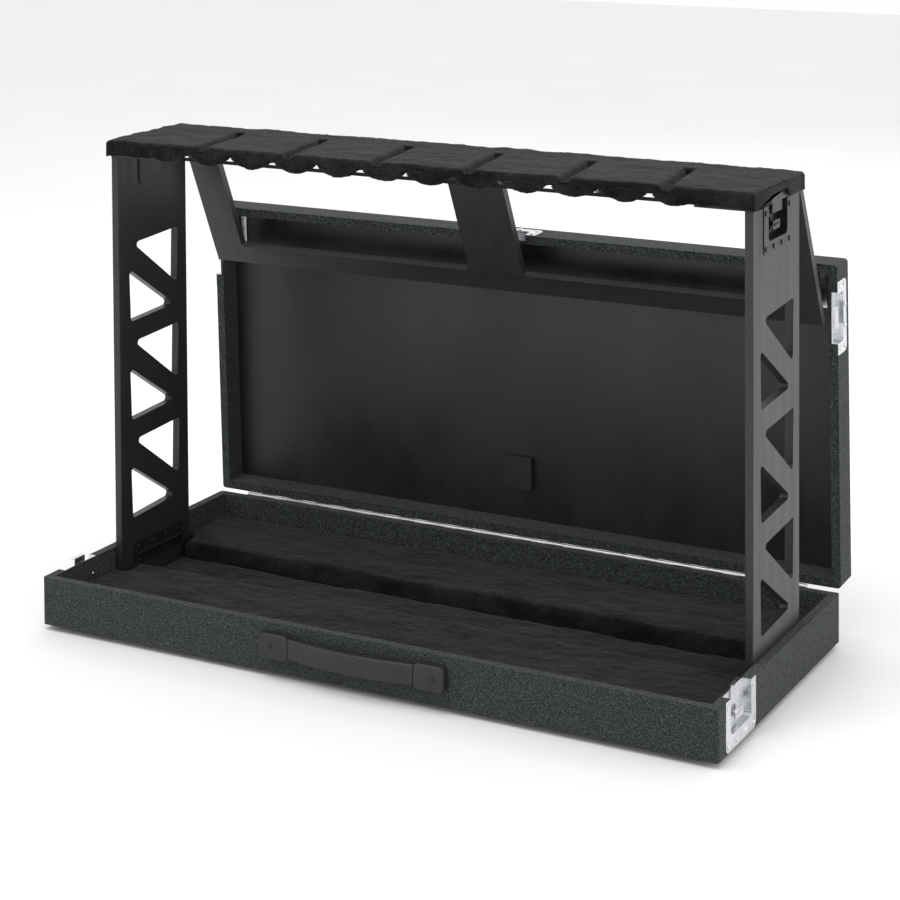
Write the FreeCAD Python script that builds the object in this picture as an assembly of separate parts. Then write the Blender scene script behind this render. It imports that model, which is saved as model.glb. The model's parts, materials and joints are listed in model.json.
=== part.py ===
"""Folding case rack that holds six guitars by the neck.

A shallow case stands open on the floor. Two pierced uprights stand in it and carry
a padded yoke with six neck slots. A brace panel hangs from the yoke's rear edge in
front of the open lid. Millimetres, +Z up, +Y towards the lid.
"""
import FreeCAD, Part
import math
import os

from FreeCAD import Matrix, Vector

# ---- driving dimensions -------------------------------------------------------
case_length = 1040.0
case_depth = 462.0
foot_height = 8.0
base_height = 68.0
lid_height = 46.0
carpet = 2.0
wall = 9.0
floor_board = 6.0
corner_radius = 5.0
lid_opening = 87.83

board = 12.0
upright_face = 494.3
upright_front = -74.0
upright_back = 102.0
yoke_underside = 664.0
upright_clearance = 0.5
left_pivot_height = 56.0
right_pivot_height = 74.0
fold_pin_offset = 2.8

slot_pitch = 145.6
slot_count = 6
slot_half_width = 15.6
slot_end = 60.0
brace_tilt = 25.0
brace_length = 225.0

# ---- derived levels -----------------------------------------------------------
half_length = case_length / 2
half_depth = case_depth / 2
skin = carpet + wall + carpet
base_bottom = foot_height
rim = foot_height + base_height
floor_top = base_bottom + carpet + floor_board
upright_top = yoke_underside - upright_clearance
upright_outer = upright_face + board
lid_pin_y = half_depth + 3.5
lid_pin_z = rim + 0.8
lid_rim = rim + 1.6
lid_panel_inner = lid_rim + 37.5
screw_radius = 3.6

overall_front = -half_depth - 22.0
lid_swing = math.radians(lid_opening)
overall_back = (lid_pin_y + (lid_height + 0.8) * math.sin(lid_swing)
                - (lid_pin_y - half_depth) * math.cos(lid_swing))
shift = Vector(0, -(overall_front + overall_back) / 2, 0)


# ---- small helpers ------------------------------------------------------------
def box(x0, x1, y0, y1, z0, z1):
    """Box between opposite corners."""
    return Part.makeBox(x1 - x0, y1 - y0, z1 - z0, Vector(x0, y0, z0))


def cylinder(radius, start, end):
    """Cylinder from one point to another."""
    start, end = Vector(*start), Vector(*end)
    return Part.makeCylinder(radius, (end - start).Length, start, end - start)


def fuse(shapes):
    """Single clean solid from overlapping shapes."""
    first, *rest = shapes
    return first.multiFuse(rest).removeSplitter() if rest else first


def polygon(points):
    """Planar face through (u, v) points in the XY plane."""
    corners = [Vector(u, v, 0) for u, v in points]
    return Part.Face(Part.makePolygon(corners + corners[:1]))


def rounded(points, radius):
    """Planar face through (u, v) points with every corner rounded."""
    edges = []
    count = len(points)
    corners = [Vector(u, v, 0) for u, v in points]
    starts, ends, arcs = [], [], []
    for index, corner in enumerate(corners):
        back = (corners[index - 1] - corner).normalize()
        ahead = (corners[(index + 1) % count] - corner).normalize()
        half = back.getAngle(ahead) / 2
        reach = radius / math.tan(half)
        middle = (back + ahead).normalize() * (radius / math.sin(half) - radius)
        starts.append(corner + back * reach)
        ends.append(corner + ahead * reach)
        arcs.append(Part.Arc(starts[-1], corner + middle, ends[-1]).toShape())
    for index in range(count):
        edges.append(arcs[index])
        edges.append(Part.makeLine(ends[index], starts[(index + 1) % count]))
    return Part.Face(Part.Wire(edges))


def axes(u, v, w, origin):
    """Matrix that carries local X, Y, Z onto u, v, w at origin."""
    return Matrix(u[0], v[0], w[0], origin[0],
                  u[1], v[1], w[1], origin[1],
                  u[2], v[2], w[2], origin[2],
                  0, 0, 0, 1)


def placed(shape, matrix):
    """Copy of a shape carried by a rigid matrix."""
    copy = shape.copy()
    copy.Placement = FreeCAD.Placement(matrix).multiply(copy.Placement)
    return copy


def mirrored(shape):
    """Mirror image across the middle of the case's length."""
    return shape.mirror(Vector(0, 0, 0), Vector(1, 0, 0))


def opened(shape):
    """Lid piece carried from its closed place to its open rest place."""
    copy = shape.copy()
    copy.rotate(Vector(0, lid_pin_y, lid_pin_z), Vector(1, 0, 0), -lid_opening)
    return copy


# ---- case shells --------------------------------------------------------------
def shell_walls(bottom, top):
    """Four plywood walls of a case half: front, back, left, right."""
    outer_x = half_length - carpet
    outer_y = half_depth - carpet
    inner_x = outer_x - wall
    inner_y = outer_y - wall
    front = box(-outer_x, outer_x, -outer_y, -inner_y, bottom, top)
    back = box(-outer_x, outer_x, inner_y, outer_y, bottom, top)
    left = box(-outer_x, -inner_x, -inner_y, inner_y, bottom, top)
    right = box(inner_x, outer_x, -inner_y, inner_y, bottom, top)
    return front, back, left, right


def shell_carpet(bottom, top, sheet_low, sheet_high, wrap_low, wrap_high, ply):
    """Carpet of a case half: one outer sheet, and a wrap over each of the four walls."""
    outer = box(-half_length, half_length, -half_depth, half_depth, bottom, top)
    corners = [edge for edge in outer.Edges
               if abs(edge.tangentAt(edge.FirstParameter).z) > 0.9]
    outer = outer.makeFillet(corner_radius, corners)
    inner_x = half_length - skin
    inner_y = half_depth - skin
    wraps = [box(-half_length, half_length, -half_depth, -inner_y, wrap_low, wrap_high),
             box(-half_length, half_length, inner_y, half_depth, wrap_low, wrap_high),
             box(-half_length, -inner_x, -inner_y, inner_y, wrap_low, wrap_high),
             box(inner_x, half_length, -inner_y, inner_y, wrap_low, wrap_high)]
    wraps = [with_cuts(outer.common(wrap), ply) for wrap in wraps]
    sheet = outer.common(box(-half_length, half_length, -half_depth, half_depth,
                             sheet_low, sheet_high))
    return [sheet] + wraps


def with_cuts(shape, cutters):
    """Shape less each cutter."""
    for cutter in cutters:
        shape = shape.cut(cutter)
    return shape


# ---- butterfly latches --------------------------------------------------------
latch_half_width = 52.0
dish_half_width = 36.5
latch_plate = 1.2
dish_wall = 1.0


def latch_dish(plate_drop, dish_drop, depth):
    """Flanged latch dish: u across, v up to the rim at 0, w out of the wall."""
    flange = rounded([(-latch_half_width, -plate_drop), (latch_half_width, -plate_drop),
                      (latch_half_width, 12), (-latch_half_width, 12)], 9.0)
    flange = flange.extrude(Vector(0, 0, latch_plate))
    flange = flange.cut(box(-60, 60, 0, 20, -1, 3))
    outer = rounded([(-dish_half_width, -dish_drop), (dish_half_width, -dish_drop),
                     (dish_half_width, 12), (-dish_half_width, 12)], 8.0)
    outer = outer.extrude(Vector(0, 0, depth + latch_plate))
    outer.translate(Vector(0, 0, -depth))
    inset = dish_half_width - dish_wall
    inner = rounded([(-inset, -dish_drop + dish_wall), (inset, -dish_drop + dish_wall),
                     (inset, 14), (-inset, 14)], 7.0)
    inner = inner.extrude(Vector(0, 0, depth + latch_plate))
    inner.translate(Vector(0, 0, -depth + dish_wall))
    above = box(-60, 60, 0, 20, -depth - 1, 5)
    return fuse([flange, outer]).cut(inner).cut(above)


def latch_recess(dish_drop, depth):
    """Space that a latch dish needs in the wall behind it."""
    recess = rounded([(-dish_half_width, -dish_drop), (dish_half_width, -dish_drop),
                      (dish_half_width, 12), (-dish_half_width, 12)], 8.0)
    recess = recess.extrude(Vector(0, 0, depth))
    recess.translate(Vector(0, 0, -depth))
    return recess.common(box(-60, 60, -dish_drop - 1, 4, -depth - 1, 0.0))


key_height = -30.0
key_reach = 14.0


def latch_key(depth):
    """Turning key: shaft, boss and two folded wings."""
    floor = -depth + dish_wall + 0.1
    shaft = cylinder(3.0, (0, key_height, floor), (0, key_height, -2.4))
    boss = cylinder(7.0, (0, key_height, -5.0), (0, key_height, -2.4))
    wing = rounded([(-key_reach, key_height - 6), (key_reach, key_height - 6),
                    (key_reach, key_height + 6), (-key_reach, key_height + 6)], 5.0)
    wing = wing.extrude(Vector(0, 0, 1.5))
    wing.translate(Vector(0, 0, -2.6))
    ridge = box(-key_reach + 5, key_reach - 5, key_height - 0.8, key_height + 0.8, -2.2, 0.6)
    return fuse([shaft, boss, wing, ridge])


def latch_hook(depth, top, tip):
    """Sliding claw: a slotted plate with an outward lip at its top."""
    back = -depth + dish_wall + 0.3
    plate = box(-12, 12, key_height - 12, top, back, back + 2.0)
    slot = fuse([cylinder(3.4, (0, key_height - 5.5, back - 1), (0, key_height - 5.5, back + 3)),
                 cylinder(3.4, (0, key_height + 5.5, back - 1), (0, key_height + 5.5, back + 3)),
                 box(-3.4, 3.4, key_height - 5.5, key_height + 5.5, back - 1, back + 3)])
    lip = box(-12, 12, top - 2.0, top, back, tip)
    return fuse([plate, lip]).cut(slot)


def screw(point, direction):
    """Pan-head screw seen as its low head and a short shank in the wall."""
    direction = Vector(*direction)
    point = Vector(*point)
    head = Part.makeCylinder(screw_radius, 1.6, point, direction)
    rim_edges = [edge for edge in head.Edges
                 if edge.Curve.TypeId == "Part::GeomCircle"
                 and (edge.Curve.Center - point).Length > 1]
    return head.makeFillet(1.0, rim_edges)


# ---- hinges -------------------------------------------------------------------
def hinge_leaf(length, knuckles, parity, barrel, pin, offset, width, plate):
    """Hinge leaf along local X; its plate runs to +Y, its fixing face is z = -offset."""
    pitch = length / knuckles
    gap = 0.15
    pieces = [box(0, length, barrel + 0.5, width, -offset, -offset + plate)]
    for index in range(parity, knuckles, 2):
        low = index * pitch + gap
        high = (index + 1) * pitch - gap
        pieces.append(cylinder(barrel, (low, 0, 0), (high, 0, 0)))
        pieces.append(box(low, high, 0, barrel + 1.0, -offset, -offset + plate))
    leaf = fuse(pieces)
    return leaf.cut(cylinder(pin + 0.05, (-1, 0, 0), (length + 1, 0, 0)))


def hinge_pin(length, pin):
    """Hinge pin along local X."""
    return cylinder(pin, (0, 0, 0), (length, 0, 0))


# ---- base ---------------------------------------------------------------------
base_latch_y = -156.0
base_dish_depth = 11.0
base_latch_drop = 66.0
dish_drop = 48.0
left_base_latch = axes((0, -1, 0), (0, 0, 1), (-1, 0, 0), (-half_length, base_latch_y, rim))


def base_shell(parts):
    """Floor, walls and carpet of the base, with its latch openings."""
    front, back, left, right = shell_walls(base_bottom + carpet, rim - carpet)
    recess = placed(latch_recess(dish_drop, base_dish_depth), left_base_latch)
    cutters = [recess, mirrored(recess)]
    inner_x = half_length - carpet - wall
    inner_y = half_depth - carpet - wall
    parts["base_floor"] = box(-inner_x, inner_x, -inner_y, inner_y, base_bottom + carpet, floor_top)
    parts["base_front_wall"] = front
    parts["base_back_wall"] = back
    parts["base_left_wall"] = with_cuts(left, cutters)
    parts["base_right_wall"] = with_cuts(right, cutters)
    ply_low = base_bottom + carpet
    plain = shell_walls(ply_low, rim - carpet)
    cover = shell_carpet(base_bottom, rim, base_bottom, ply_low, ply_low, rim, plain)
    parts["base_carpet"] = Part.makeCompound(
        [with_cuts(piece, cutters + [parts["base_floor"]]) for piece in cover])


def rubber_feet():
    """Four low rubber feet with flat soles."""
    feet = []
    for x in (-490, 490):
        for y in (-206, 206):
            feet.append(Part.makeCone(8.0, 11.0, foot_height, Vector(x, y, 0)))
    return Part.makeCompound(feet)


pad_top = 46.0
pad_split_front = -34.0
pad_split_back = 70.0


def upright_bay():
    """Space kept free round the two uprights and their cleats."""
    bay = box(upright_face - 8.5, 520, upright_front - 2, upright_back + 2, 0, 90)
    return [bay, mirrored(bay)]


def pads(parts):
    """Two plush-covered body pads and the lining of the trough between them."""
    reach_x = half_length - skin - 1.0
    reach_y = half_depth - skin - 1.0
    for name, low, high in (("front_pad", -reach_y, pad_split_front),
                            ("rear_pad", pad_split_back, reach_y)):
        pad = box(-reach_x, reach_x, low, high, floor_top, pad_top)
        edges = [edge for edge in pad.Edges
                 if edge.BoundBox.ZMin > pad_top - 0.1 and edge.BoundBox.XLength > 100]
        parts[name] = with_cuts(pad.makeFillet(12.0, edges), upright_bay())
    lining = box(-reach_x, reach_x, pad_split_front + 0.5, pad_split_back - 0.5,
                 floor_top, floor_top + 7)
    parts["trough_lining"] = with_cuts(lining, upright_bay())


def cleat(top):
    """Block on the left wall that carries an upright's hinge."""
    return box(-half_length + skin, -upright_face, upright_front, upright_back, floor_top, top)


def handle(parts):
    """Strap handle: bowed grip between two end caps on the front wall."""
    face = -half_depth
    level = 47.0
    caps = []
    for side in (-1, 1):
        cap = box(0, 46, 0, 34, 0, 13)
        cap = cap.makeFillet(7.0, [edge for edge in cap.Edges if edge.BoundBox.ZLength > 10])
        outer_edges = [edge for edge in cap.Edges if edge.BoundBox.ZMin > 12.9]
        cap = cap.makeFillet(3.0, outer_edges)
        cap = placed(cap, axes((1, 0, 0), (0, 0, 1), (0, -1, 0), (0, face, level - 17)))
        cap.translate(Vector(-142.5 if side < 0 else 96.5, 0, 0))
        caps.append(cap)
    parts["handle_caps"] = Part.makeCompound(caps)
    outer = Part.Arc(Vector(-96.3, face - 12, 0), Vector(0, face - 22, 0), Vector(96.3, face - 12, 0))
    inner = Part.Arc(Vector(96.3, face - 2.5, 0), Vector(0, face - 12, 0), Vector(-96.3, face - 2.5, 0))
    outline = Part.Wire([outer.toShape(),
                         Part.makeLine(Vector(96.3, face - 12, 0), Vector(96.3, face - 2.5, 0)),
                         inner.toShape(),
                         Part.makeLine(Vector(-96.3, face - 2.5, 0), Vector(-96.3, face - 12, 0))])
    grip = Part.Face(outline).extrude(Vector(0, 0, 28))
    grip.translate(Vector(0, 0, level - 14))
    long_edges = [edge for edge in grip.Edges if edge.BoundBox.XLength > 150]
    parts["handle_grip"] = grip.makeFillet(3.0, long_edges)
    parts["handle_screws"] = Part.makeCompound(
        [screw((x, face - 13, level), (0, -1, 0)) for x in (-126, 126)])


def base_latches(parts):
    """Latch dishes, keys and claws on the two end walls of the base."""
    dish = placed(latch_dish(base_latch_drop, dish_drop, base_dish_depth), left_base_latch)
    key = placed(latch_key(base_dish_depth), left_base_latch)
    hook = placed(latch_hook(base_dish_depth, 9.0, -3.0), left_base_latch)
    parts["base_latch_dishes"] = Part.makeCompound([dish, mirrored(dish)])
    parts["left_base_key"] = key
    parts["right_base_key"] = mirrored(key)
    parts["left_base_hook"] = hook
    parts["right_base_hook"] = mirrored(hook)
    screws = []
    for u, v in latch_screw_places(base_latch_drop):
        head = screw((-half_length - latch_plate, base_latch_y - u, rim + v), (-1, 0, 0))
        screws += [head, mirrored(head)]
    for y in (base_latch_y - 28, base_latch_y + 28):
        head = screw((-half_length + skin, y, rim - 24), (1, 0, 0))
        screws += [head, mirrored(head)]
    parts["base_latch_screws"] = Part.makeCompound(screws)


def latch_screw_places(plate_drop):
    """Screw places on a latch flange."""
    low = -plate_drop + 8
    return [(-44, low), (-15, low), (15, low), (44, low), (-44, -9), (44, -9)]


# ---- fold hinges and uprights -------------------------------------------------
fold_hinge_length = 124.0
fold_hinge_middle = 18.0
fold_barrel = 2.4
fold_pin = 1.2
fold_plate = 1.5


def fold_hinge(side, pivot_height):
    """Lower leaf, pin and upper leaf of one upright's hinge."""
    start = fold_hinge_middle - fold_hinge_length / 2
    x = -upright_face + fold_pin_offset
    lower = hinge_leaf(fold_hinge_length, 5, 0, fold_barrel, fold_pin, fold_pin_offset, 16, fold_plate)
    upper = hinge_leaf(fold_hinge_length, 5, 1, fold_barrel, fold_pin, fold_pin_offset, 18, fold_plate)
    pin = hinge_pin(fold_hinge_length, fold_pin)
    lower = placed(lower, axes((0, -1, 0), (0, 0, -1), (1, 0, 0),
                               (x, start + fold_hinge_length, pivot_height)))
    upper = placed(upper, axes((0, 1, 0), (0, 0, 1), (1, 0, 0), (x, start, pivot_height)))
    pin = placed(pin, axes((0, 1, 0), (0, 0, 1), (1, 0, 0), (x, start, pivot_height)))
    pieces = [lower, pin, upper]
    return pieces if side < 0 else [mirrored(piece) for piece in pieces]


upright_middle = (upright_front + upright_back) / 2 + 1.0
upright_dish_depth = 14.0
left_upright_latch = axes((0, -1, 0), (0, 0, 1), (-1, 0, 0),
                          (-upright_outer, upright_middle, upright_top))
triangle_levels = (515.0, 366.0, 217.0)
right_lattice_drop = 11.0


def lattice_cutters(drop):
    """Six rounded triangles, lowered by the drop, that leave a zigzag web in an upright."""
    front = upright_front + 28.0
    back = upright_back - 30.0
    cutters = []
    for level in [height - drop for height in triangle_levels]:
        leaning_back = [(front + 8, level + 14), (back + 6, level + 20), (back + 3, level - 66)]
        leaning_front = [(front - 2, level - 24), (front + 1, level - 104), (back - 4, level - 98)]
        for outline in (leaning_back, leaning_front):
            face = rounded(outline, 5.0)
            cutters.append(placed(face.extrude(Vector(0, 0, 40)),
                                  axes((0, 1, 0), (0, 0, 1), (1, 0, 0), (-upright_face - 30, 0, 0))))
    return cutters


def upright(pivot_height, drop):
    """Left upright board above its hinge, with its lattice and latch notch."""
    blank = box(-upright_outer, -upright_face, upright_front, upright_back,
                pivot_height + 0.3, upright_top)
    edges = [edge for edge in blank.Edges if edge.BoundBox.ZLength > 300]
    blank = blank.makeFillet(2.0, edges)
    notch = placed(latch_recess(dish_drop, upright_dish_depth), left_upright_latch)
    return with_cuts(blank, lattice_cutters(drop) + [notch])


def upright_hardware(parts, name, side, pivot_height):
    """One upright with its hinge leaf, latch and screws."""
    def sided(shape):
        return shape if side < 0 else mirrored(shape)

    drop = 0.0 if side < 0 else right_lattice_drop
    parts[name + "_upright"] = sided(upright(pivot_height, drop))
    parts[name + "_upright_latch"] = sided(
        placed(latch_dish(64.0, dish_drop, upright_dish_depth), left_upright_latch))
    parts[name + "_upright_key"] = sided(placed(latch_key(upright_dish_depth), left_upright_latch))
    parts[name + "_upright_hook"] = sided(
        placed(latch_hook(upright_dish_depth, -8.0, -5.6), left_upright_latch))
    heads = [screw((-upright_outer - latch_plate, upright_middle - u, upright_top + v), (-1, 0, 0))
             for u, v in latch_screw_places(64.0)]
    leaf_face = -upright_face + fold_plate
    heads += [screw((leaf_face, y, pivot_height + 11), (1, 0, 0))
              for y in fold_screw_places()]
    parts[name + "_upright_screws"] = sided(Part.makeCompound(heads))


def fold_screw_places():
    """Screw places along a fold hinge."""
    return [fold_hinge_middle + offset for offset in (-50, -17, 17, 50)]


# ---- lid ----------------------------------------------------------------------
lid_latch_drop = 34.0
lid_dish_drop = 22.0


def lid_catch_frames():
    """Local frames of the three lid catches, in the closed place."""
    left = axes((0, 1, 0), (0, 0, -1), (-1, 0, 0), (-half_length, base_latch_y, lid_rim))
    front = axes((-1, 0, 0), (0, 0, -1), (0, -1, 0), (0, -half_depth, lid_rim))
    return left, front


def catch():
    """Lid half of a latch: dish with a keeper bar across its mouth."""
    dish = latch_dish(lid_latch_drop, lid_dish_drop, 9.0)
    bar = box(-16, 16, -7.0, -4.5, -8.5, -1.5)
    return fuse([dish, bar])


def lid(parts):
    """Lid walls, panel, carpet, catches, block and brace clips."""
    top = lid_rim + lid_height
    front, back, left, right = shell_walls(lid_rim + carpet, top - carpet)
    left_frame, front_frame = lid_catch_frames()
    recess = placed(latch_recess(lid_dish_drop, 9.0), left_frame)
    front_recess = placed(latch_recess(lid_dish_drop, 9.0), front_frame)
    side_cuts = [recess, mirrored(recess)]
    inner_x = half_length - carpet - wall
    inner_y = half_depth - carpet - wall
    panel = box(-inner_x, inner_x, -inner_y, inner_y, lid_panel_inner, top - carpet)
    ply_high = top - carpet
    plain = shell_walls(lid_rim + carpet, ply_high)
    cover = shell_carpet(lid_rim, top, ply_high, top, lid_rim, ply_high, plain)
    parts["lid_front_wall"] = opened(with_cuts(front, [front_recess]))
    parts["lid_back_wall"] = opened(back)
    parts["lid_left_wall"] = opened(with_cuts(left, side_cuts))
    parts["lid_right_wall"] = opened(with_cuts(right, side_cuts))
    parts["lid_panel"] = opened(panel)
    lid_cutters = side_cuts + [front_recess, panel]
    parts["lid_carpet"] = opened(Part.makeCompound(
        [with_cuts(piece, lid_cutters) for piece in cover]))
    side_catch = placed(catch(), left_frame)
    parts["lid_catches"] = opened(Part.makeCompound(
        [side_catch, mirrored(side_catch), placed(catch(), front_frame)]))
    heads = []
    for u, v in ((-44, -26), (-15, -28), (15, -28), (44, -26), (-44, -8), (44, -8)):
        head = screw((-half_length - latch_plate, base_latch_y + u, lid_rim - v), (-1, 0, 0))
        heads += [head, mirrored(head), screw((u, -half_depth - latch_plate, lid_rim - v), (0, -1, 0))]
    parts["lid_catch_screws"] = opened(Part.makeCompound(heads))
    block = box(-25, 23, 119, 170, lid_panel_inner - 9, lid_panel_inner)
    block = block.makeFillet(3.0, [edge for edge in block.Edges if edge.BoundBox.ZLength > 5])
    parts["lid_block"] = opened(block)
    clip = box(483, 493, -216, -160, lid_panel_inner - 3, lid_panel_inner)
    parts["lid_clips"] = opened(Part.makeCompound([clip, mirrored(clip)]))


# ---- lid hinge ----------------------------------------------------------------
lid_hinge_length = 942.0
lid_hinge_knuckles = 37
lid_barrel = 3.0
lid_pin = 1.2


def lid_hinge(parts):
    """Piano hinge between the back walls of base and lid."""
    start = -lid_hinge_length / 2
    base_leaf = hinge_leaf(lid_hinge_length, lid_hinge_knuckles, 0, lid_barrel, lid_pin, 3.5, 24, 1.2)
    lid_leaf = hinge_leaf(lid_hinge_length, lid_hinge_knuckles, 1, lid_barrel, lid_pin, 3.5, 24, 1.2)
    parts["lid_hinge_base_leaf"] = placed(
        base_leaf, axes((1, 0, 0), (0, 0, -1), (0, 1, 0), (start, lid_pin_y, lid_pin_z)))
    closed_leaf = placed(
        lid_leaf, axes((-1, 0, 0), (0, 0, 1), (0, 1, 0), (-start, lid_pin_y, lid_pin_z)))
    parts["lid_hinge_lid_leaf"] = opened(closed_leaf)
    parts["lid_hinge_pin"] = cylinder(lid_pin, (start, lid_pin_y, lid_pin_z),
                                      (-start, lid_pin_y, lid_pin_z))


# ---- yoke and brace -----------------------------------------------------------
yoke_board_back = 104.0
plush_front = -82.0
plush_back = 112.0
plush_half_length = 512.0
plush_top = 692.0
tooth_tip = -52.0
tooth_tip_half = 12.0
funnel_start = 18.0
slit_half_width = 3.0
flap_top = 682.0


def slot_places():
    """Middle of each neck slot along the yoke."""
    first = -slot_pitch * (slot_count - 1) / 2
    return [first + index * slot_pitch for index in range(slot_count)]


def yoke_board():
    """Plywood comb whose teeth narrow towards the front."""
    half = upright_outer
    blank = box(-half, half, upright_front, yoke_board_back, yoke_underside, yoke_underside + board)
    cutters = []
    for middle in slot_places():
        mouth = slot_pitch / 2 - tooth_tip_half
        funnel = polygon([(middle - slot_half_width, slot_end), (middle - slot_half_width, funnel_start),
                          (middle - mouth, tooth_tip), (middle - mouth, -200),
                          (middle + mouth, -200), (middle + mouth, tooth_tip),
                          (middle + slot_half_width, funnel_start),
                          (middle + slot_half_width, slot_end)])
        funnel = funnel.extrude(Vector(0, 0, board + 2))
        funnel.translate(Vector(0, 0, yoke_underside - 1))
        end = cylinder(slot_half_width, (middle, slot_end, yoke_underside - 1),
                       (middle, slot_end, yoke_underside + board + 1))
        cutters += [funnel, end]
    for index in range(slot_count - 1):
        middle = slot_places()[index] + slot_pitch / 2
        cutters.append(box(middle - 30, middle + 30, -200, tooth_tip, yoke_underside - 1,
                           yoke_underside + board + 1))
    return with_cuts(blank, cutters)


def yoke_plush():
    """Plush-covered foam on the yoke, slit over each neck slot."""
    low = yoke_underside + board + 0.2
    slab = box(-plush_half_length, plush_half_length, plush_front, plush_back, low, plush_top)
    edges = [edge for edge in slab.Edges if edge.BoundBox.ZMin > plush_top - 0.1]
    slab = slab.makeFillet(7.0, edges)
    side = box(-plush_half_length, -upright_outer - 0.3, upright_front, yoke_board_back,
               yoke_underside + 1, low)
    rear = box(-plush_half_length, plush_half_length, plush_back - 5.5, plush_back,
               yoke_underside + 4, low)
    lip = box(-upright_face + 20, upright_face - 20, plush_front - 1, tooth_tip - 4, low - 1, flap_top + 0.3)
    slab = fuse([slab.cut(lip), side, mirrored(side), rear])
    slits = [box(middle - slit_half_width, middle + slit_half_width, plush_front - 1, slot_end,
                 low - 1, plush_top + 1) for middle in slot_places()]
    return with_cuts(slab, slits)


def neck_flaps():
    """Plush lozenges that hang under the front edge beside every slot."""
    low = yoke_underside + 1
    high = flap_top
    flaps = []
    for middle in slot_places():
        for start, end in ((middle - slot_pitch / 2 + 4, middle - 4),
                           (middle + 4, middle + slot_pitch / 2 - 4)):
            level = high - 5
            top = Part.Arc(Vector(start, level, 0), Vector((start + end) / 2, high, 0),
                           Vector(end, level, 0))
            bottom = Part.Arc(Vector(end, level, 0), Vector((start + end) / 2, low, 0),
                              Vector(start, level, 0))
            face = Part.Face(Part.Wire([top.toShape(), bottom.toShape()]))
            flaps.append(placed(face.extrude(Vector(0, 0, 7)),
                                axes((1, 0, 0), (0, 0, 1), (0, -1, 0), (0, plush_front + 7, 0))))
    return Part.makeCompound(flaps)


def neck_strap():
    """Thin elastic strap between the flaps and the teeth."""
    return box(-500, 500, upright_front - 0.9, upright_front - 0.1,
               yoke_underside + 3, yoke_underside + 8)


def yoke_keepers():
    """Angle keepers under the yoke's ends for the upright latches."""
    flange = box(-upright_outer, -upright_outer + 11, upright_middle - 18, upright_middle + 18,
                 yoke_underside - 1.5, yoke_underside)
    leg = box(-upright_outer, -upright_outer + 2, upright_middle - 18, upright_middle + 18,
              yoke_underside - 13.5, yoke_underside)
    lip = box(-upright_outer, -upright_outer + 5, upright_middle - 18, upright_middle + 18,
              yoke_underside - 13.5, yoke_underside - 11.5)
    keeper = fuse([flange, leg, lip])
    return Part.makeCompound([keeper, mirrored(keeper)])


brace_pin_y = yoke_board_back + 3.0
brace_pin_z = 661.5
brace_hinge_length = 60.0
brace_half_length = 503.7
tilt = math.radians(brace_tilt)
slope = (0, math.sin(tilt), -math.cos(tilt))
outward = (0, math.cos(tilt), math.sin(tilt))


def brace_hinges(parts):
    """Three butt hinges between the yoke's rear edge and the brace."""
    yoke_leaves, pins, brace_leaves = [], [], []
    for middle in (-460.0, 0.0, 460.0):
        start = middle - brace_hinge_length / 2
        end = middle + brace_hinge_length / 2
        leaf = hinge_leaf(brace_hinge_length, 5, 0, 2.4, 1.2, 3.0, 13, 1.5)
        other = hinge_leaf(brace_hinge_length, 5, 1, 2.4, 1.2, 3.0, 20, 1.5)
        yoke_leaves.append(placed(leaf, axes((-1, 0, 0), (0, 0, 1), (0, 1, 0),
                                             (end, brace_pin_y, brace_pin_z))))
        inward = (0, -outward[1], -outward[2])
        brace_leaves.append(placed(other, axes((-1, 0, 0), slope, inward,
                                               (end, brace_pin_y, brace_pin_z))))
        pins.append(cylinder(1.2, (start, brace_pin_y, brace_pin_z), (end, brace_pin_y, brace_pin_z)))
    parts["brace_yoke_leaves"] = Part.makeCompound(yoke_leaves)
    parts["brace_hinge_pins"] = Part.makeCompound(pins)
    parts["brace_leaves"] = Part.makeCompound(brace_leaves)


def brace_panel():
    """Tilted panel with three legs and a bottom bar."""
    top = 3.0
    bottom = brace_length
    outer = polygon([(-brace_half_length, top), (brace_half_length, top),
                     (brace_half_length, bottom), (-brace_half_length, bottom)])
    panel = outer.extrude(Vector(0, 0, board))
    for low, high in ((-451.0, -45.0), (45.0, 451.0)):
        window = rounded([(low, -60), (high, -60), (high, bottom - 31), (low, bottom - 31)], 6.0)
        panel = panel.cut(window.extrude(Vector(0, 0, board + 2)))
    frame = axes((1, 0, 0), slope, outward,
                 (0, brace_pin_y + outward[1] * 3.0, brace_pin_z + outward[2] * 3.0))
    return placed(panel, frame)


# ---- assembly -----------------------------------------------------------------
def build():
    """All the pieces by node name."""
    parts = {}
    base_shell(parts)
    parts["rubber_feet"] = rubber_feet()
    pads(parts)
    parts["left_cleat"] = cleat(left_pivot_height - 0.3)
    parts["right_cleat"] = mirrored(cleat(right_pivot_height - 0.3))
    handle(parts)
    base_latches(parts)
    left = fold_hinge(-1, left_pivot_height)
    right = fold_hinge(1, right_pivot_height)
    parts["fold_lower_leaves"] = Part.makeCompound([left[0], right[0]])
    parts["fold_pins"] = Part.makeCompound([left[1], right[1]])
    parts["left_fold_leaf"] = left[2]
    parts["right_fold_leaf"] = right[2]
    heads = [screw((-upright_face + fold_plate, y, left_pivot_height - 10), (1, 0, 0))
             for y in fold_screw_places()]
    heads += [mirrored(screw((-upright_face + fold_plate, y, right_pivot_height - 10), (1, 0, 0)))
              for y in fold_screw_places()]
    parts["fold_leaf_screws"] = Part.makeCompound(heads)
    upright_hardware(parts, "left", -1, left_pivot_height)
    upright_hardware(parts, "right", 1, right_pivot_height)
    lid(parts)
    lid_hinge(parts)
    parts["yoke_board"] = yoke_board()
    parts["yoke_plush"] = yoke_plush()
    parts["neck_flaps"] = neck_flaps()
    parts["neck_strap"] = neck_strap()
    parts["yoke_keepers"] = yoke_keepers()
    brace_hinges(parts)
    parts["brace_panel"] = brace_panel()
    return parts


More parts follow.
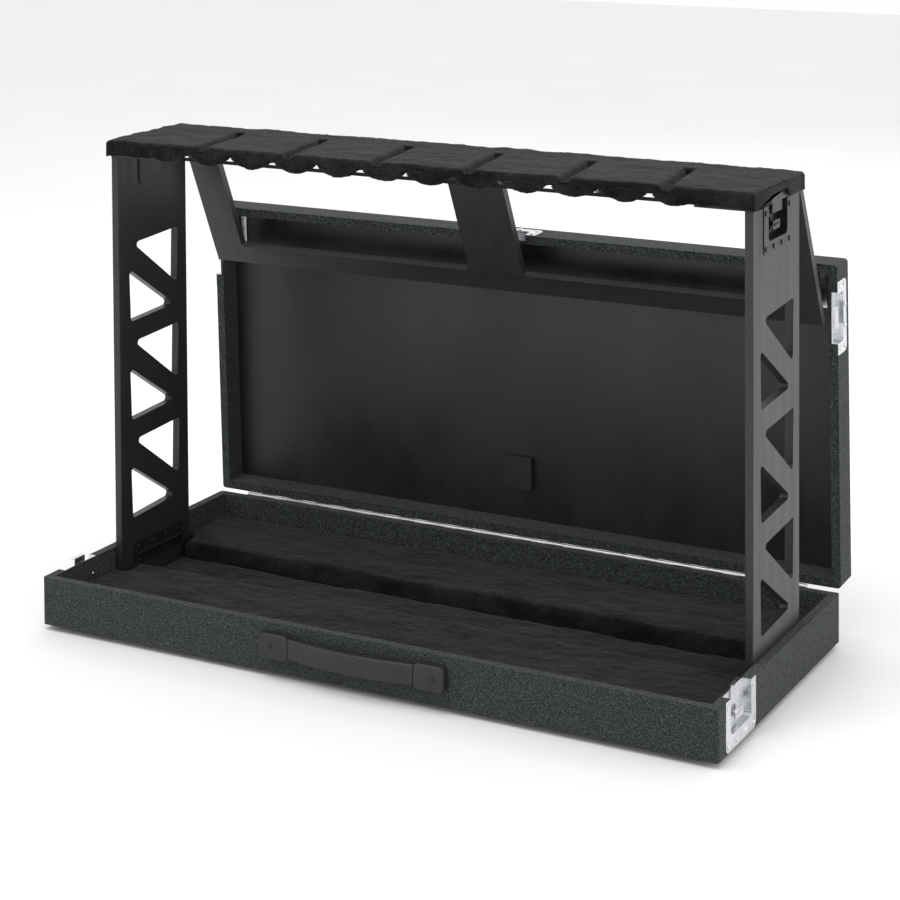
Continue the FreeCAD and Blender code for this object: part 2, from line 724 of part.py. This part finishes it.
def main():
    """Write every piece to its own file."""
    os.makedirs("parts", exist_ok=True)
    for name, shape in build().items():
        shape = shape.copy()
        shape.translate(shift)
        shape.exportStep(os.path.join("parts", name + ".step"))
        print(name, len(shape.Solids), shape.isValid(), round(shape.Volume))


if __name__ == "__main__":
    main()
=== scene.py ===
"""Folding case guitar rack: looks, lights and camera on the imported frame."""
import json
import logging
import math
from dataclasses import dataclass, field
from enum import Enum

import bmesh
import bpy
from mathutils import Matrix, Vector, noise


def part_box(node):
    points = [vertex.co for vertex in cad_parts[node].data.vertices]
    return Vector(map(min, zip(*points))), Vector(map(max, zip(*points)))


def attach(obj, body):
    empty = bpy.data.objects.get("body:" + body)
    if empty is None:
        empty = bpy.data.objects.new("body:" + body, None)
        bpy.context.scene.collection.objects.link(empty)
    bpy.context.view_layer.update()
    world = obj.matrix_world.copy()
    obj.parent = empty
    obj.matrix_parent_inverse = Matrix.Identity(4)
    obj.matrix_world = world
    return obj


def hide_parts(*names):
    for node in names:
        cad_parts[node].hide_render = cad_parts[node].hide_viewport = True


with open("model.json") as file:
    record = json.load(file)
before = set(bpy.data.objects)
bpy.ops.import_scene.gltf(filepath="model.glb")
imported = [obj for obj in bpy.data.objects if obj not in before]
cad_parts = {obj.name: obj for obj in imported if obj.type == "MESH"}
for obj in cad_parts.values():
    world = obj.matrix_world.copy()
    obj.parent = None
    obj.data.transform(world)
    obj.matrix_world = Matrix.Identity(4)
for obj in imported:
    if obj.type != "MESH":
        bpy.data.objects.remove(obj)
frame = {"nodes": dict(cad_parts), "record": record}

logger = logging.getLogger("rack")

Colour = tuple[float, float, float]

# Name of the attribute that marks where painted shade darkens the yoke's slot creases.
CREASE_SHADE = "crease"


class Finish(Enum):
    """Surface finishes that the rack is made of."""

    CARPET = "carpet"
    PLUSH = "plush"
    PAINT = "painted plywood"
    HARDBOARD = "hardboard"
    PLY = "plywood edge"
    ZINC = "zinc"
    NICKEL = "nickel"
    BLACK_STEEL = "black steel"
    RUBBER = "rubber"
    STRAP = "elastic strap"


@dataclass
class Graph:
    """Small builder for one procedural material.

    Args:
        name: Material name.
    """

    name: str
    material: bpy.types.Material = field(init=False)

    def __post_init__(self) -> None:
        self.material = bpy.data.materials.new(self.name)
        self.material.use_nodes = True
        self.nodes = self.material.node_tree.nodes
        self.links = self.material.node_tree.links
        self.shader = self.nodes["Principled BSDF"]
        self.coordinates = self.nodes.new("ShaderNodeTexCoord")

    def set(self, **values: float | tuple) -> None:
        """Set constants on the shader's own sockets.

        Args:
            values: Socket names in lower case with underscores, and their values.
        """
        for key, value in values.items():
            socket = key.replace("_", " ").title().replace("Ior", "IOR")
            self.shader.inputs[socket].default_value = value

    def noise(self, scale: float, detail: float = 3.0, roughness: float = 0.55,
              stretch: tuple[float, float, float] = (1.0, 1.0, 1.0)) -> bpy.types.NodeSocket:
        """Noise value over object space.

        Args:
            scale: Cells per metre.
            detail: Octaves.
            roughness: Strength of the finer octaves.
            stretch: Multiplier on each axis.

        Returns:
            The value socket.
        """
        mapping = self.nodes.new("ShaderNodeMapping")
        mapping.inputs["Scale"].default_value = stretch
        self.links.new(self.coordinates.outputs["Object"], mapping.inputs["Vector"])
        texture = self.nodes.new("ShaderNodeTexNoise")
        texture.inputs["Scale"].default_value = scale
        texture.inputs["Detail"].default_value = detail
        texture.inputs["Roughness"].default_value = roughness
        self.links.new(mapping.outputs["Vector"], texture.inputs["Vector"])
        return texture.outputs["Fac"]

    def ramp(self, source: bpy.types.NodeSocket, *stops: tuple[float, Colour | float]
             ) -> bpy.types.NodeSocket:
        """Colour ramp over a value.

        Args:
            source: Value socket.
            stops: Pairs of position and colour, or grey level.

        Returns:
            The colour socket.
        """
        ramp = self.nodes.new("ShaderNodeValToRGB")
        elements = ramp.color_ramp.elements
        while len(elements) < len(stops):
            elements.new(1.0)
        for element, (position, colour) in zip(elements, stops):
            element.position = position
            rgb = colour if isinstance(colour, tuple) else (colour,) * 3
            element.color = (*rgb, 1.0)
        self.links.new(source, ramp.inputs["Fac"])
        return ramp.outputs["Color"]

    def mix(self, factor: bpy.types.NodeSocket, low: bpy.types.NodeSocket,
            high: bpy.types.NodeSocket) -> bpy.types.NodeSocket:
        """Blend of two colours by a value.

        Args:
            factor: Value socket.
            low: Colour at 0.
            high: Colour at 1.

        Returns:
            The mixed colour.
        """
        node = self.nodes.new("ShaderNodeMix")
        node.data_type = "RGBA"
        self.links.new(factor, node.inputs[0])
        self.links.new(low, node.inputs[6])
        self.links.new(high, node.inputs[7])
        return node.outputs[2]

    def bump(self, *layers: tuple[bpy.types.NodeSocket, float, float]) -> None:
        """Stack bump layers onto the shader's normal.

        Args:
            layers: Height socket, strength and distance in metres.
        """
        previous = None
        for height, strength, distance in layers:
            node = self.nodes.new("ShaderNodeBump")
            node.inputs["Strength"].default_value = strength
            node.inputs["Distance"].default_value = distance
            self.links.new(height, node.inputs["Height"])
            if previous is not None:
                self.links.new(previous, node.inputs["Normal"])
            previous = node.outputs["Normal"]
        self.links.new(previous, self.shader.inputs["Normal"])

    def link(self, source: bpy.types.NodeSocket, target: str) -> None:
        """Drive a shader input.

        Args:
            source: Output socket.
            target: Input name on the shader.
        """
        self.links.new(source, self.shader.inputs[target])


def carpet_material() -> bpy.types.Material:
    """Charcoal needle-punch carpet with light heather flecks.

    Returns:
        The material.
    """
    graph = Graph("carpet")
    graph.set(roughness=0.95, specular_ior_level=0.15, sheen_weight=0.1, sheen_roughness=0.5)
    base = graph.ramp(graph.noise(420, 4, 0.7), (0.36, (0.004, 0.005, 0.0055)),
                      (0.50, (0.018, 0.021, 0.022)), (0.64, (0.060, 0.068, 0.071)))
    pale = graph.ramp(graph.noise(9, 2), (0.3, (0.03, 0.034, 0.036)), (0.7, (0.058, 0.064, 0.068)))
    flecks = graph.ramp(graph.noise(900, 2, 0.6, (1.0, 0.45, 1.0)), (0.56, 0.0), (0.66, 0.9))
    graph.link(graph.mix(flecks, base, graph.ramp(graph.noise(300), (0.3, (0.07, 0.078, 0.082)),
                                                  (0.7, (0.19, 0.205, 0.21)))), "Base Color")
    graph.bump((graph.noise(650, 5, 0.8), 0.9, 0.0012), (pale, 0.2, 0.002))
    return graph.material


def plush_material() -> bpy.types.Material:
    """Short black pile, brushed in soft patches, with painted shade in the yoke's slot creases.

    Returns:
        The material.
    """
    graph = Graph("plush")
    graph.set(roughness=0.95, specular_ior_level=0.1, sheen_weight=0.12, sheen_roughness=0.4)
    strands = graph.noise(520, 4, 0.7, (0.35, 1.0, 1.0))
    patches = graph.noise(28, 3, 0.6, (0.6, 1.0, 1.0))
    dark = graph.ramp(strands, (0.35, (0.0015, 0.0017, 0.002)), (0.65, (0.006, 0.0066, 0.0075)))
    light = graph.ramp(strands, (0.35, (0.005, 0.0055, 0.0063)), (0.65, (0.020, 0.0225, 0.0255)))
    pile = graph.mix(graph.ramp(patches, (0.38, 0.0), (0.62, 1.0)), dark, light)
    # Painted shade: where the crease attribute is high, the pile colour is mixed towards a near-black
    # copy, which darkens the slot creases.
    crease = graph.nodes.new("ShaderNodeAttribute")
    crease.attribute_name = CREASE_SHADE
    painted_crease_shade = graph.ramp(strands, (0.35, 0.0006), (0.65, 0.002))
    graph.link(graph.mix(crease.outputs["Fac"], pile, painted_crease_shade), "Base Color")
    graph.bump((strands, 0.9, 0.002), (patches, 0.5, 0.006))
    return graph.material


def paint_material() -> bpy.types.Material:
    """Satin black paint over plywood, with a faint grain and worn edges.

    Returns:
        The material.
    """
    graph = Graph("satin black")
    graph.set(specular_ior_level=0.42)
    grain = graph.noise(60, 4, 0.6, (1.0, 1.0, 0.08))
    speckle = graph.noise(700, 2)
    geometry = graph.nodes.new("ShaderNodeNewGeometry")
    edge = graph.ramp(geometry.outputs["Pointiness"], (0.52, 0.0), (0.60, 1.0))
    body = graph.ramp(grain, (0.3, (0.0055, 0.0064, 0.0068)), (0.7, (0.010, 0.0115, 0.012)))
    worn = graph.ramp(speckle, (0.3, (0.012, 0.013, 0.014)), (0.7, (0.03, 0.032, 0.034)))
    graph.link(graph.mix(edge, body, worn), "Base Color")
    graph.link(graph.ramp(grain, (0.3, 0.34), (0.7, 0.46)), "Roughness")
    graph.bump((grain, 0.12, 0.0008), (speckle, 0.08, 0.0003))
    return graph.material


def hardboard_material() -> bpy.types.Material:
    """Smooth black hardboard with a blotchy, half-gloss surface.

    Returns:
        The material.
    """
    graph = Graph("hardboard")
    graph.set(specular_ior_level=0.5)
    blotch = graph.noise(7, 5, 0.65, (1.0, 1.0, 0.5))
    fibre = graph.noise(160, 5, 0.75)
    graph.link(graph.ramp(blotch, (0.3, (0.006, 0.007, 0.0072)), (0.7, (0.013, 0.0148, 0.0152))),
               "Base Color")
    graph.link(graph.ramp(blotch, (0.32, 0.3), (0.68, 0.52)), "Roughness")
    graph.bump((fibre, 0.12, 0.0006), (blotch, 0.25, 0.003))
    return graph.material


def ply_material() -> bpy.types.Material:
    """Stained plywood that shows only at cut edges.

    Returns:
        The material.
    """
    graph = Graph("ply")
    graph.set(specular_ior_level=0.3)
    grain = graph.noise(90, 4, 0.6, (0.05, 1.0, 1.0))
    graph.link(graph.ramp(grain, (0.3, (0.02, 0.018, 0.016)), (0.7, (0.05, 0.045, 0.04))), "Base Color")
    graph.link(graph.ramp(grain, (0.2, 0.6), (0.8, 0.8)), "Roughness")
    graph.bump((grain, 0.3, 0.0005))
    return graph.material


def metal_material(name: str, low: Colour, high: Colour, smooth: float, rough: float,
                   metallic: float = 1.0) -> bpy.types.Material:
    """Plated metal with faint smears and fine scratches.

    Args:
        name: Material name.
        low: Darker colour.
        high: Lighter colour.
        smooth: Lowest roughness.
        rough: Highest roughness.
        metallic: Metallic weight.

    Returns:
        The material.
    """
    graph = Graph(name)
    graph.set(metallic=metallic, specular_ior_level=0.5)
    smear = graph.noise(55, 4, 0.6)
    scratch = graph.noise(380, 3, 0.7, (1.0, 1.0, 0.15))
    graph.link(graph.ramp(smear, (0.3, low), (0.7, high)), "Base Color")
    graph.link(graph.ramp(smear, (0.3, smooth), (0.7, rough)), "Roughness")
    graph.bump((scratch, 0.08, 0.0002))
    return graph.material


def rubber_material() -> bpy.types.Material:
    """Matte black moulded rubber with a fine texture.

    Returns:
        The material.
    """
    graph = Graph("rubber")
    graph.set(specular_ior_level=0.45)
    fine = graph.noise(1100, 3, 0.6)
    graph.link(graph.ramp(graph.noise(30), (0.3, (0.010, 0.0105, 0.011)),
                          (0.7, (0.018, 0.019, 0.020))), "Base Color")
    graph.link(graph.ramp(fine, (0.3, 0.42), (0.7, 0.6)), "Roughness")
    graph.bump((fine, 0.35, 0.0003))
    return graph.material


def strap_material() -> bpy.types.Material:
    """Woven black elastic.

    Returns:
        The material.
    """
    graph = Graph("strap")
    graph.set(roughness=0.85, specular_ior_level=0.2)
    weave = graph.noise(700, 2, 0.5, (1.0, 1.0, 0.3))
    graph.link(graph.ramp(weave, (0.3, (0.006, 0.006, 0.007)), (0.7, (0.022, 0.022, 0.024))),
               "Base Color")
    graph.bump((weave, 0.6, 0.0006))
    return graph.material


def make_materials() -> dict[Finish, bpy.types.Material]:
    """Every finish of the rack.

    Returns:
        Materials by finish.
    """
    return {
        Finish.CARPET: carpet_material(),
        Finish.PLUSH: plush_material(),
        Finish.PAINT: paint_material(),
        Finish.HARDBOARD: hardboard_material(),
        Finish.PLY: ply_material(),
        Finish.ZINC: metal_material("zinc", (0.62, 0.63, 0.65), (0.82, 0.83, 0.85), 0.16, 0.3),
        Finish.NICKEL: metal_material("nickel", (0.55, 0.55, 0.54), (0.78, 0.78, 0.76), 0.25, 0.42),
        Finish.BLACK_STEEL: metal_material("black steel", (0.010, 0.010, 0.011),
                                           (0.024, 0.024, 0.026), 0.28, 0.45, 0.3),
        Finish.RUBBER: rubber_material(),
        Finish.STRAP: strap_material(),
    }


SLOT_FINISH = {
    "ply_case": Finish.PLY,
    "carpet": Finish.CARPET,
    "hardboard": Finish.HARDBOARD,
    "plush": Finish.PLUSH,
    "ply_black": Finish.PAINT,
    "rubber": Finish.RUBBER,
    "zinc": Finish.ZINC,
    "black_steel": Finish.BLACK_STEEL,
    "nickel": Finish.NICKEL,
    "strap": Finish.STRAP,
}

NODE_FINISH = {"handle_screws": Finish.BLACK_STEEL}

SOFT_EDGES = {
    "carpet": 0.0022,
    "ply_black": 0.0008,
    "rubber": 0.001,
    "zinc": 0.0003,
    "black_steel": 0.0003,
}


def body_of_node(name: str) -> str:
    """Body that holds a node.

    Args:
        name: Node name.

    Returns:
        Body name.
    """
    bodies = frame["record"]["behaviour"]["bodies"]
    return next(body for body, nodes in bodies.items() if name in nodes)


def new_piece(name: str, mesh: bpy.types.Mesh, finish: bpy.types.Material,
              body: str, replaces: tuple[str, ...] = ()) -> bpy.types.Object:
    """Object for a finished mesh, riding on its body.

    Args:
        name: Piece name.
        mesh: Its mesh in the row frame.
        finish: Its material.
        body: Body that it rides on.
        replaces: Nodes that it stands for.

    Returns:
        The object.
    """
    mesh.materials.clear()
    mesh.materials.append(finish)
    mesh.shade_smooth()
    piece = bpy.data.objects.new(name, mesh)
    bpy.context.scene.collection.objects.link(piece)
    if replaces:
        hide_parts(*replaces)
    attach(piece, body)
    logger.info("piece %s: %d faces on %s", name, len(mesh.polygons), body)
    return piece


def remeshed(node: str, voxel: float, shrink: float = 0.0) -> bpy.types.Mesh:
    """Even quad skin over a CAD solid.

    Args:
        node: CAD node.
        voxel: Cell size in metres.
        shrink: Distance that the skin is pulled in.

    Returns:
        A new mesh.
    """
    source = bpy.data.objects.new("source", frame["nodes"][node].data.copy())
    bpy.context.scene.collection.objects.link(source)
    remesh = source.modifiers.new("remesh", "REMESH")
    remesh.mode = "VOXEL"
    remesh.voxel_size = voxel
    smooth = source.modifiers.new("smooth", "SMOOTH")
    smooth.iterations = 6
    graph = bpy.context.evaluated_depsgraph_get()
    mesh = bpy.data.meshes.new_from_object(source.evaluated_get(graph))
    bpy.data.objects.remove(source)
    if shrink:
        mesh.update()
        for vertex in mesh.vertices:
            vertex.co -= vertex.normal * shrink
    return mesh


def tufted(mesh: bpy.types.Mesh, wave: float, tuft: float, seed: float) -> None:
    """Push a soft skin out and in by slow waves and small tufts.

    Args:
        mesh: Mesh to shape.
        wave: Height of the slow waves in metres.
        tuft: Height of the tufts in metres.
        seed: Offset into the noise.
    """
    mesh.update()
    moves = []
    for vertex in mesh.vertices:
        point = vertex.co + Vector((seed, 0, 0))
        slow = noise.noise(Vector((point.x * 14, point.y * 26, point.z * 26)))
        quick = noise.noise(Vector((point.x * 70, point.y * 120, point.z * 120)))
        fine = noise.noise(point * 260)
        moves.append(vertex.normal * (slow * wave + quick * tuft + fine * tuft * 0.5))
    for vertex, move in zip(mesh.vertices, moves):
        vertex.co += move


@dataclass
class YokeCover:
    """Plush cover of the yoke: a loft of cross-sections along its length.

    Args:
        low: Lowest corner of the CAD cover.
        high: Highest corner of the CAD cover.
        slots: Middle of each neck slot.
        slot_end: Rear end of the slots.
        board_low: Lowest corner of the board under the cover.
        board_high: Highest corner of the board under the cover.
        latch_y: Middle of the latches at the ends, where the cover is cut back.
    """

    low: Vector
    high: Vector
    slots: list[float]
    slot_end: float
    board_low: Vector
    board_high: Vector
    latch_y: float
    columns: int = 430
    slant: float = 0.023
    groove: float = 0.0062
    groove_depth: float = 0.0098
    corner: float = 0.0065
    end_round: float = 0.007
    tip_steps: int = 5
    face_steps: int = 5
    corner_steps: int = 7
    top_steps: int = 62
    under_steps: int = 24

    def stations(self) -> list[float]:
        """Places of the cross-sections, closer together near the ends.

        Returns:
            Places along the yoke.
        """
        end = self.high.x - 0.0012
        turn = self.board_high.x + 0.0006
        inner = [-turn + 2 * turn * step / self.columns for step in range(self.columns + 1)]
        tips = [turn + (end - turn) * step / self.tip_steps
                for step in range(1, self.tip_steps + 1)]
        return [-tip for tip in reversed(tips)] + inner + tips

    def under(self, x: float, y: float) -> float:
        """Height of the cover's underside.

        Args:
            x: Place along the yoke.
            y: Place across the yoke.

        Returns:
            Height above the floor.
        """
        on_board = self.board_high.z + 0.0005
        if abs(x) < self.board_high.x + 0.0004:
            if y > self.board_low.y - 0.0002:
                return on_board
            lumps = noise.noise(Vector((x * 45, 3.0, 1.0))) * 0.0022
            if abs(x) < self.slots[-1] + 0.068:
                return on_board + 0.0028 + lumps * 0.4
            return self.board_low.z + 0.0035 + lumps
        near_latch = abs(y - self.latch_y) < 0.03
        lumps = noise.noise(Vector((x * 9, y * 60, 2.0))) * 0.0022
        drop = -0.001 if near_latch else 0.0105
        return on_board - drop + (0 if near_latch else lumps)

    def section(self, x: float) -> list[Vector]:
        """Closed cross-section at one place.

        Args:
            x: Place along the yoke.

        Returns:
            Its points in order.
        """
        reach = self.high.x - abs(x)
        edge = max(0.0, 1 - reach / self.end_round)
        inset = self.end_round * (1 - math.sqrt(max(0.0, 1 - edge * edge)))
        front, back = self.low.y + inset * 0.6, self.high.y - inset * 0.6
        top = self.high.z - inset * 0.9 - 0.0008
        radius = self.corner
        hem = self.under(x, front)
        points = []
        for step in range(self.face_steps):
            points.append(Vector((x, front, hem + (top - radius - hem) * step / self.face_steps)))
        for step in range(self.corner_steps):
            angle = math.pi / 2 * step / self.corner_steps
            points.append(Vector((x, front + radius - radius * math.cos(angle),
                                  top - radius + radius * math.sin(angle))))
        for step in range(self.top_steps):
            y = front + radius + (back - front - 2 * radius) * step / self.top_steps
            points.append(Vector((x, y, top)))
        for step in range(self.corner_steps):
            angle = math.pi / 2 * step / self.corner_steps
            points.append(Vector((x, back - radius + radius * math.sin(angle),
                                  top - radius + radius * math.cos(angle))))
        rear_low = min(self.under(x, back), self.board_low.z + 0.0045)
        for step in range(self.face_steps):
            z = top - radius + (rear_low - top + radius) * step / self.face_steps
            points.append(Vector((x, back, z)))
        points.append(Vector((x, back - 0.0005, rear_low)))
        points.append(Vector((x, back - 0.0045, rear_low)))
        inner_back = back - 0.0048
        edge_front = self.board_low.y - 0.0004
        for step in range(self.under_steps):
            y = inner_back + (edge_front + 0.0003 - inner_back) * step / (self.under_steps - 1)
            points.append(Vector((x, y, self.under(x, y))))
        points.append(Vector((x, edge_front, self.under(x, edge_front))))
        points.append(Vector((x, front + 0.0005, self.under(x, front))))
        return points

    def crease(self, x: float, y: float) -> float:
        """How far a place on the top lies in a slot's crease.

        Args:
            x: Place along the yoke.
            y: Place across the yoke.

        Returns:
            0 outside a crease and 1 at the bottom of one.
        """
        along = (self.slot_end - y) / (self.slot_end - self.low.y)
        if along < -0.02:
            return 0.0
        gap = min(abs(x - middle - self.slant * along) for middle in self.slots)
        return min(1.0, (along + 0.02) * 30) / (1 + (gap / self.groove) ** 6)

    def shaped(self, point: Vector) -> Vector:
        """Creases and pile waves on one point of the cover.

        Args:
            point: Point on the plain loft.

        Returns:
            The shaped point.
        """
        x, y, z = point
        moved = point.copy()
        on_top = max(0.0, min(1.0, (z - self.board_high.z - 0.008) / 0.004))
        moved.z -= self.groove_depth * self.crease(x, y) * on_top
        wave = noise.noise(Vector((x * 16, y * 30, z * 10)))
        tuft = noise.noise(Vector((x * 60, y * 95, z * 60 + 4)))
        fine = noise.noise(Vector((x * 210, y * 280, z * 240)))
        soft = 0.3 + 0.7 * on_top
        moved.z += (wave * 0.0012 + tuft * 0.0010 + fine * 0.0007) * soft - 0.0008 * on_top
        outward = 1 if y > 0 else -1
        moved.y += (tuft * 0.0014 + fine * 0.0007) * outward * (1 - 0.6 * on_top)
        return moved

    def build(self) -> bpy.types.Mesh:
        """Loft the cover.

        Returns:
            Its mesh.
        """
        mesh = bpy.data.meshes.new("yoke_cover")
        skin = bmesh.new()
        rows = [[skin.verts.new(self.shaped(point)) for point in self.section(x)]
                for x in self.stations()]
        for near, far in zip(rows, rows[1:]):
            count = len(near)
            for index in range(count):
                after = (index + 1) % count
                skin.faces.new((near[index], far[index], far[after], near[after]))
        skin.faces.new(rows[0])
        skin.faces.new(reversed(rows[-1]))
        bmesh.ops.triangulate(skin, faces=[face for face in skin.faces if len(face.verts) > 4])
        bmesh.ops.recalc_face_normals(skin, faces=skin.faces)
        skin.to_mesh(mesh)
        skin.free()
        # Painted shade: this attribute holds each top vertex's depth in a slot crease, and the plush
        # material darkens the pile by it.
        crease = mesh.attributes.new(CREASE_SHADE, "FLOAT", "POINT")
        floor = self.board_high.z + 0.002
        for vertex, value in zip(mesh.vertices, crease.data):
            x, y, z = vertex.co
            value.value = self.crease(x, y) if z > floor else 0.0
        return mesh


@dataclass
class Rack:
    """The whole rack's visual model.

    Args:
        finishes: Materials by finish.
    """

    finishes: dict[Finish, bpy.types.Material]

    def paint_nodes(self) -> None:
        """Give every CAD node its finish, and softly broken edges to the nodes of the finishes listed
        in SOFT_EDGES.
        """
        slots = {part["node"]: part["material_slot"] for part in frame["record"]["subparts"]}
        for name, node in frame["nodes"].items():
            slot = slots[name]
            material = self.finishes[NODE_FINISH.get(name, SLOT_FINISH[slot])]
            if not node.material_slots:
                node.data.materials.append(material)
            for place in node.material_slots:
                place.material = material
            logger.info("node %s: %s", name, material.name)
            if slot in SOFT_EDGES:
                bevel = node.modifiers.new("soft edge", "BEVEL")
                bevel.width = SOFT_EDGES[slot]
                bevel.segments = 2
                bevel.limit_method = "ANGLE"
                bevel.angle_limit = math.radians(50)
                bevel.harden_normals = False

    def pads(self) -> None:
        """Plush body pads and the lining between them."""
        plush = self.finishes[Finish.PLUSH]
        for index, name in enumerate(("front_pad", "rear_pad", "trough_lining")):
            mesh = remeshed(name, 0.0034, 0.0012)
            tufted(mesh, 0.0018, 0.0009, 3.0 + index)
            piece = new_piece("plush_" + name, mesh, plush, body_of_node(name), (name,))

    def yoke(self) -> None:
        """Plush cover on the yoke and the flaps under its front edge."""
        plush = self.finishes[Finish.PLUSH]
        low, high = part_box("yoke_plush")
        board_low, board_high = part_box("yoke_board")
        openings = frame["record"]["physics"]["openings"]
        throats = [box["box_m"] for box in openings if box["name"].startswith("neck_throat")]
        slots = sorted((box[0][0] + box[1][0]) / 2 for box in throats)
        slot_end = max(box[1][1] for box in throats) + 0.001
        latch_low, latch_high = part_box("left_upright_latch")
        cover = YokeCover(Vector(low), Vector(high), slots, slot_end, Vector(board_low),
                          Vector(board_high), (latch_low[1] + latch_high[1]) / 2)
        piece = new_piece("yoke_cover", cover.build(), plush, "yoke", ("yoke_plush",))
        flaps = remeshed("neck_flaps", 0.0016, -0.0013)
        tufted(flaps, 0.0012, 0.0012, 9.0)
        piece = new_piece("plush_flaps", flaps, plush, "yoke", ("neck_flaps",))


@dataclass
class Studio:
    """Floor, lights and camera.

    Args:
        centre: Middle of the object on the floor.
    """

    centre: Vector

    def floor(self) -> None:
        """Pale floor that the rack stands on."""
        mesh = bpy.data.meshes.new("floor")
        sheet = bmesh.new()
        bmesh.ops.create_grid(sheet, x_segments=8, y_segments=8, size=9.0)
        sheet.to_mesh(mesh)
        sheet.free()
        floor = bpy.data.objects.new("floor", mesh)
        bpy.context.scene.collection.objects.link(floor)
        graph = Graph("floor")
        graph.set(roughness=0.7, specular_ior_level=0.2)
        graph.link(graph.ramp(graph.noise(2), (0.3, 0.86), (0.7, 0.88)), "Base Color")
        mesh.materials.append(graph.material)
        floor.location.z = -0.0002

    def light(self, name: str, place: tuple, aim: tuple, size: float, power: float) -> None:
        """Soft square lamp.

        Args:
            name: Lamp name.
            place: Where it stands.
            aim: What it points at.
            size: Side in metres.
            power: Watts.
        """
        data = bpy.data.lights.new(name, "AREA")
        data.shape = "SQUARE"
        data.size = size
        data.energy = power
        lamp = bpy.data.objects.new(name, data)
        bpy.context.scene.collection.objects.link(lamp)
        lamp.location = place
        lamp.rotation_euler = (Vector(aim) - Vector(place)).to_track_quat("-Z", "Y").to_euler()

    def lights(self) -> None:
        """World light and the lamps."""
        world = bpy.data.worlds.new("studio")
        bpy.context.scene.world = world
        world.use_nodes = True
        background = world.node_tree.nodes["Background"]
        background.inputs["Color"].default_value = (1.0, 1.0, 1.0, 1.0)
        background.inputs["Strength"].default_value = 1.0
        self.light("key", (-0.6, -1.4, 3.4), (0, 0, 0.3), 2.4, 45)
        self.light("side", (3.4, 0.6, 1.3), (0, 0, 0.4), 1.6, 22)
        self.light("back", (0.0, 3.4, 2.6), (0, 0, 0.3), 2.4, 25)

    def camera(self) -> None:
        """Camera at the studio's viewing angle, with a level lens shift."""
        yaw = math.radians(28.198)
        pitch = math.radians(2.346)
        roll = math.radians(0.324)
        ahead = Vector((-math.sin(yaw) * math.cos(pitch), math.cos(yaw) * math.cos(pitch),
                        -math.sin(pitch)))
        right = Vector((math.cos(yaw), math.sin(yaw), 0))
        up = right.cross(ahead)
        tilted_right = right * math.cos(roll) - up * math.sin(roll)
        tilted_up = up * math.cos(roll) + right * math.sin(roll)
        data = bpy.data.cameras.new("camera")
        data.sensor_width = 36.0
        data.lens = 92.0
        data.shift_y = -0.629
        camera = bpy.data.objects.new("camera", data)
        bpy.context.scene.collection.objects.link(camera)
        turn = Matrix((tilted_right, tilted_up, -ahead)).transposed().to_4x4()
        place = self.centre + Vector((1.5482, -2.8477, 1.2066))
        camera.matrix_world = Matrix.Translation(place) @ turn
        bpy.context.scene.camera = camera


def main() -> None:
    """Dress the frame and set the studio."""
    logging.basicConfig(level=logging.INFO)
    bpy.context.scene.view_settings.view_transform = "Standard"
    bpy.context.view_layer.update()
    rack = Rack(make_materials())
    rack.paint_nodes()
    rack.pads()
    rack.yoke()
    studio = Studio(Vector((0, 0, 0)))
    studio.floor()
    studio.lights()
    studio.camera()
    bpy.context.view_layer.update()


if __name__ == "__main__":
    main()
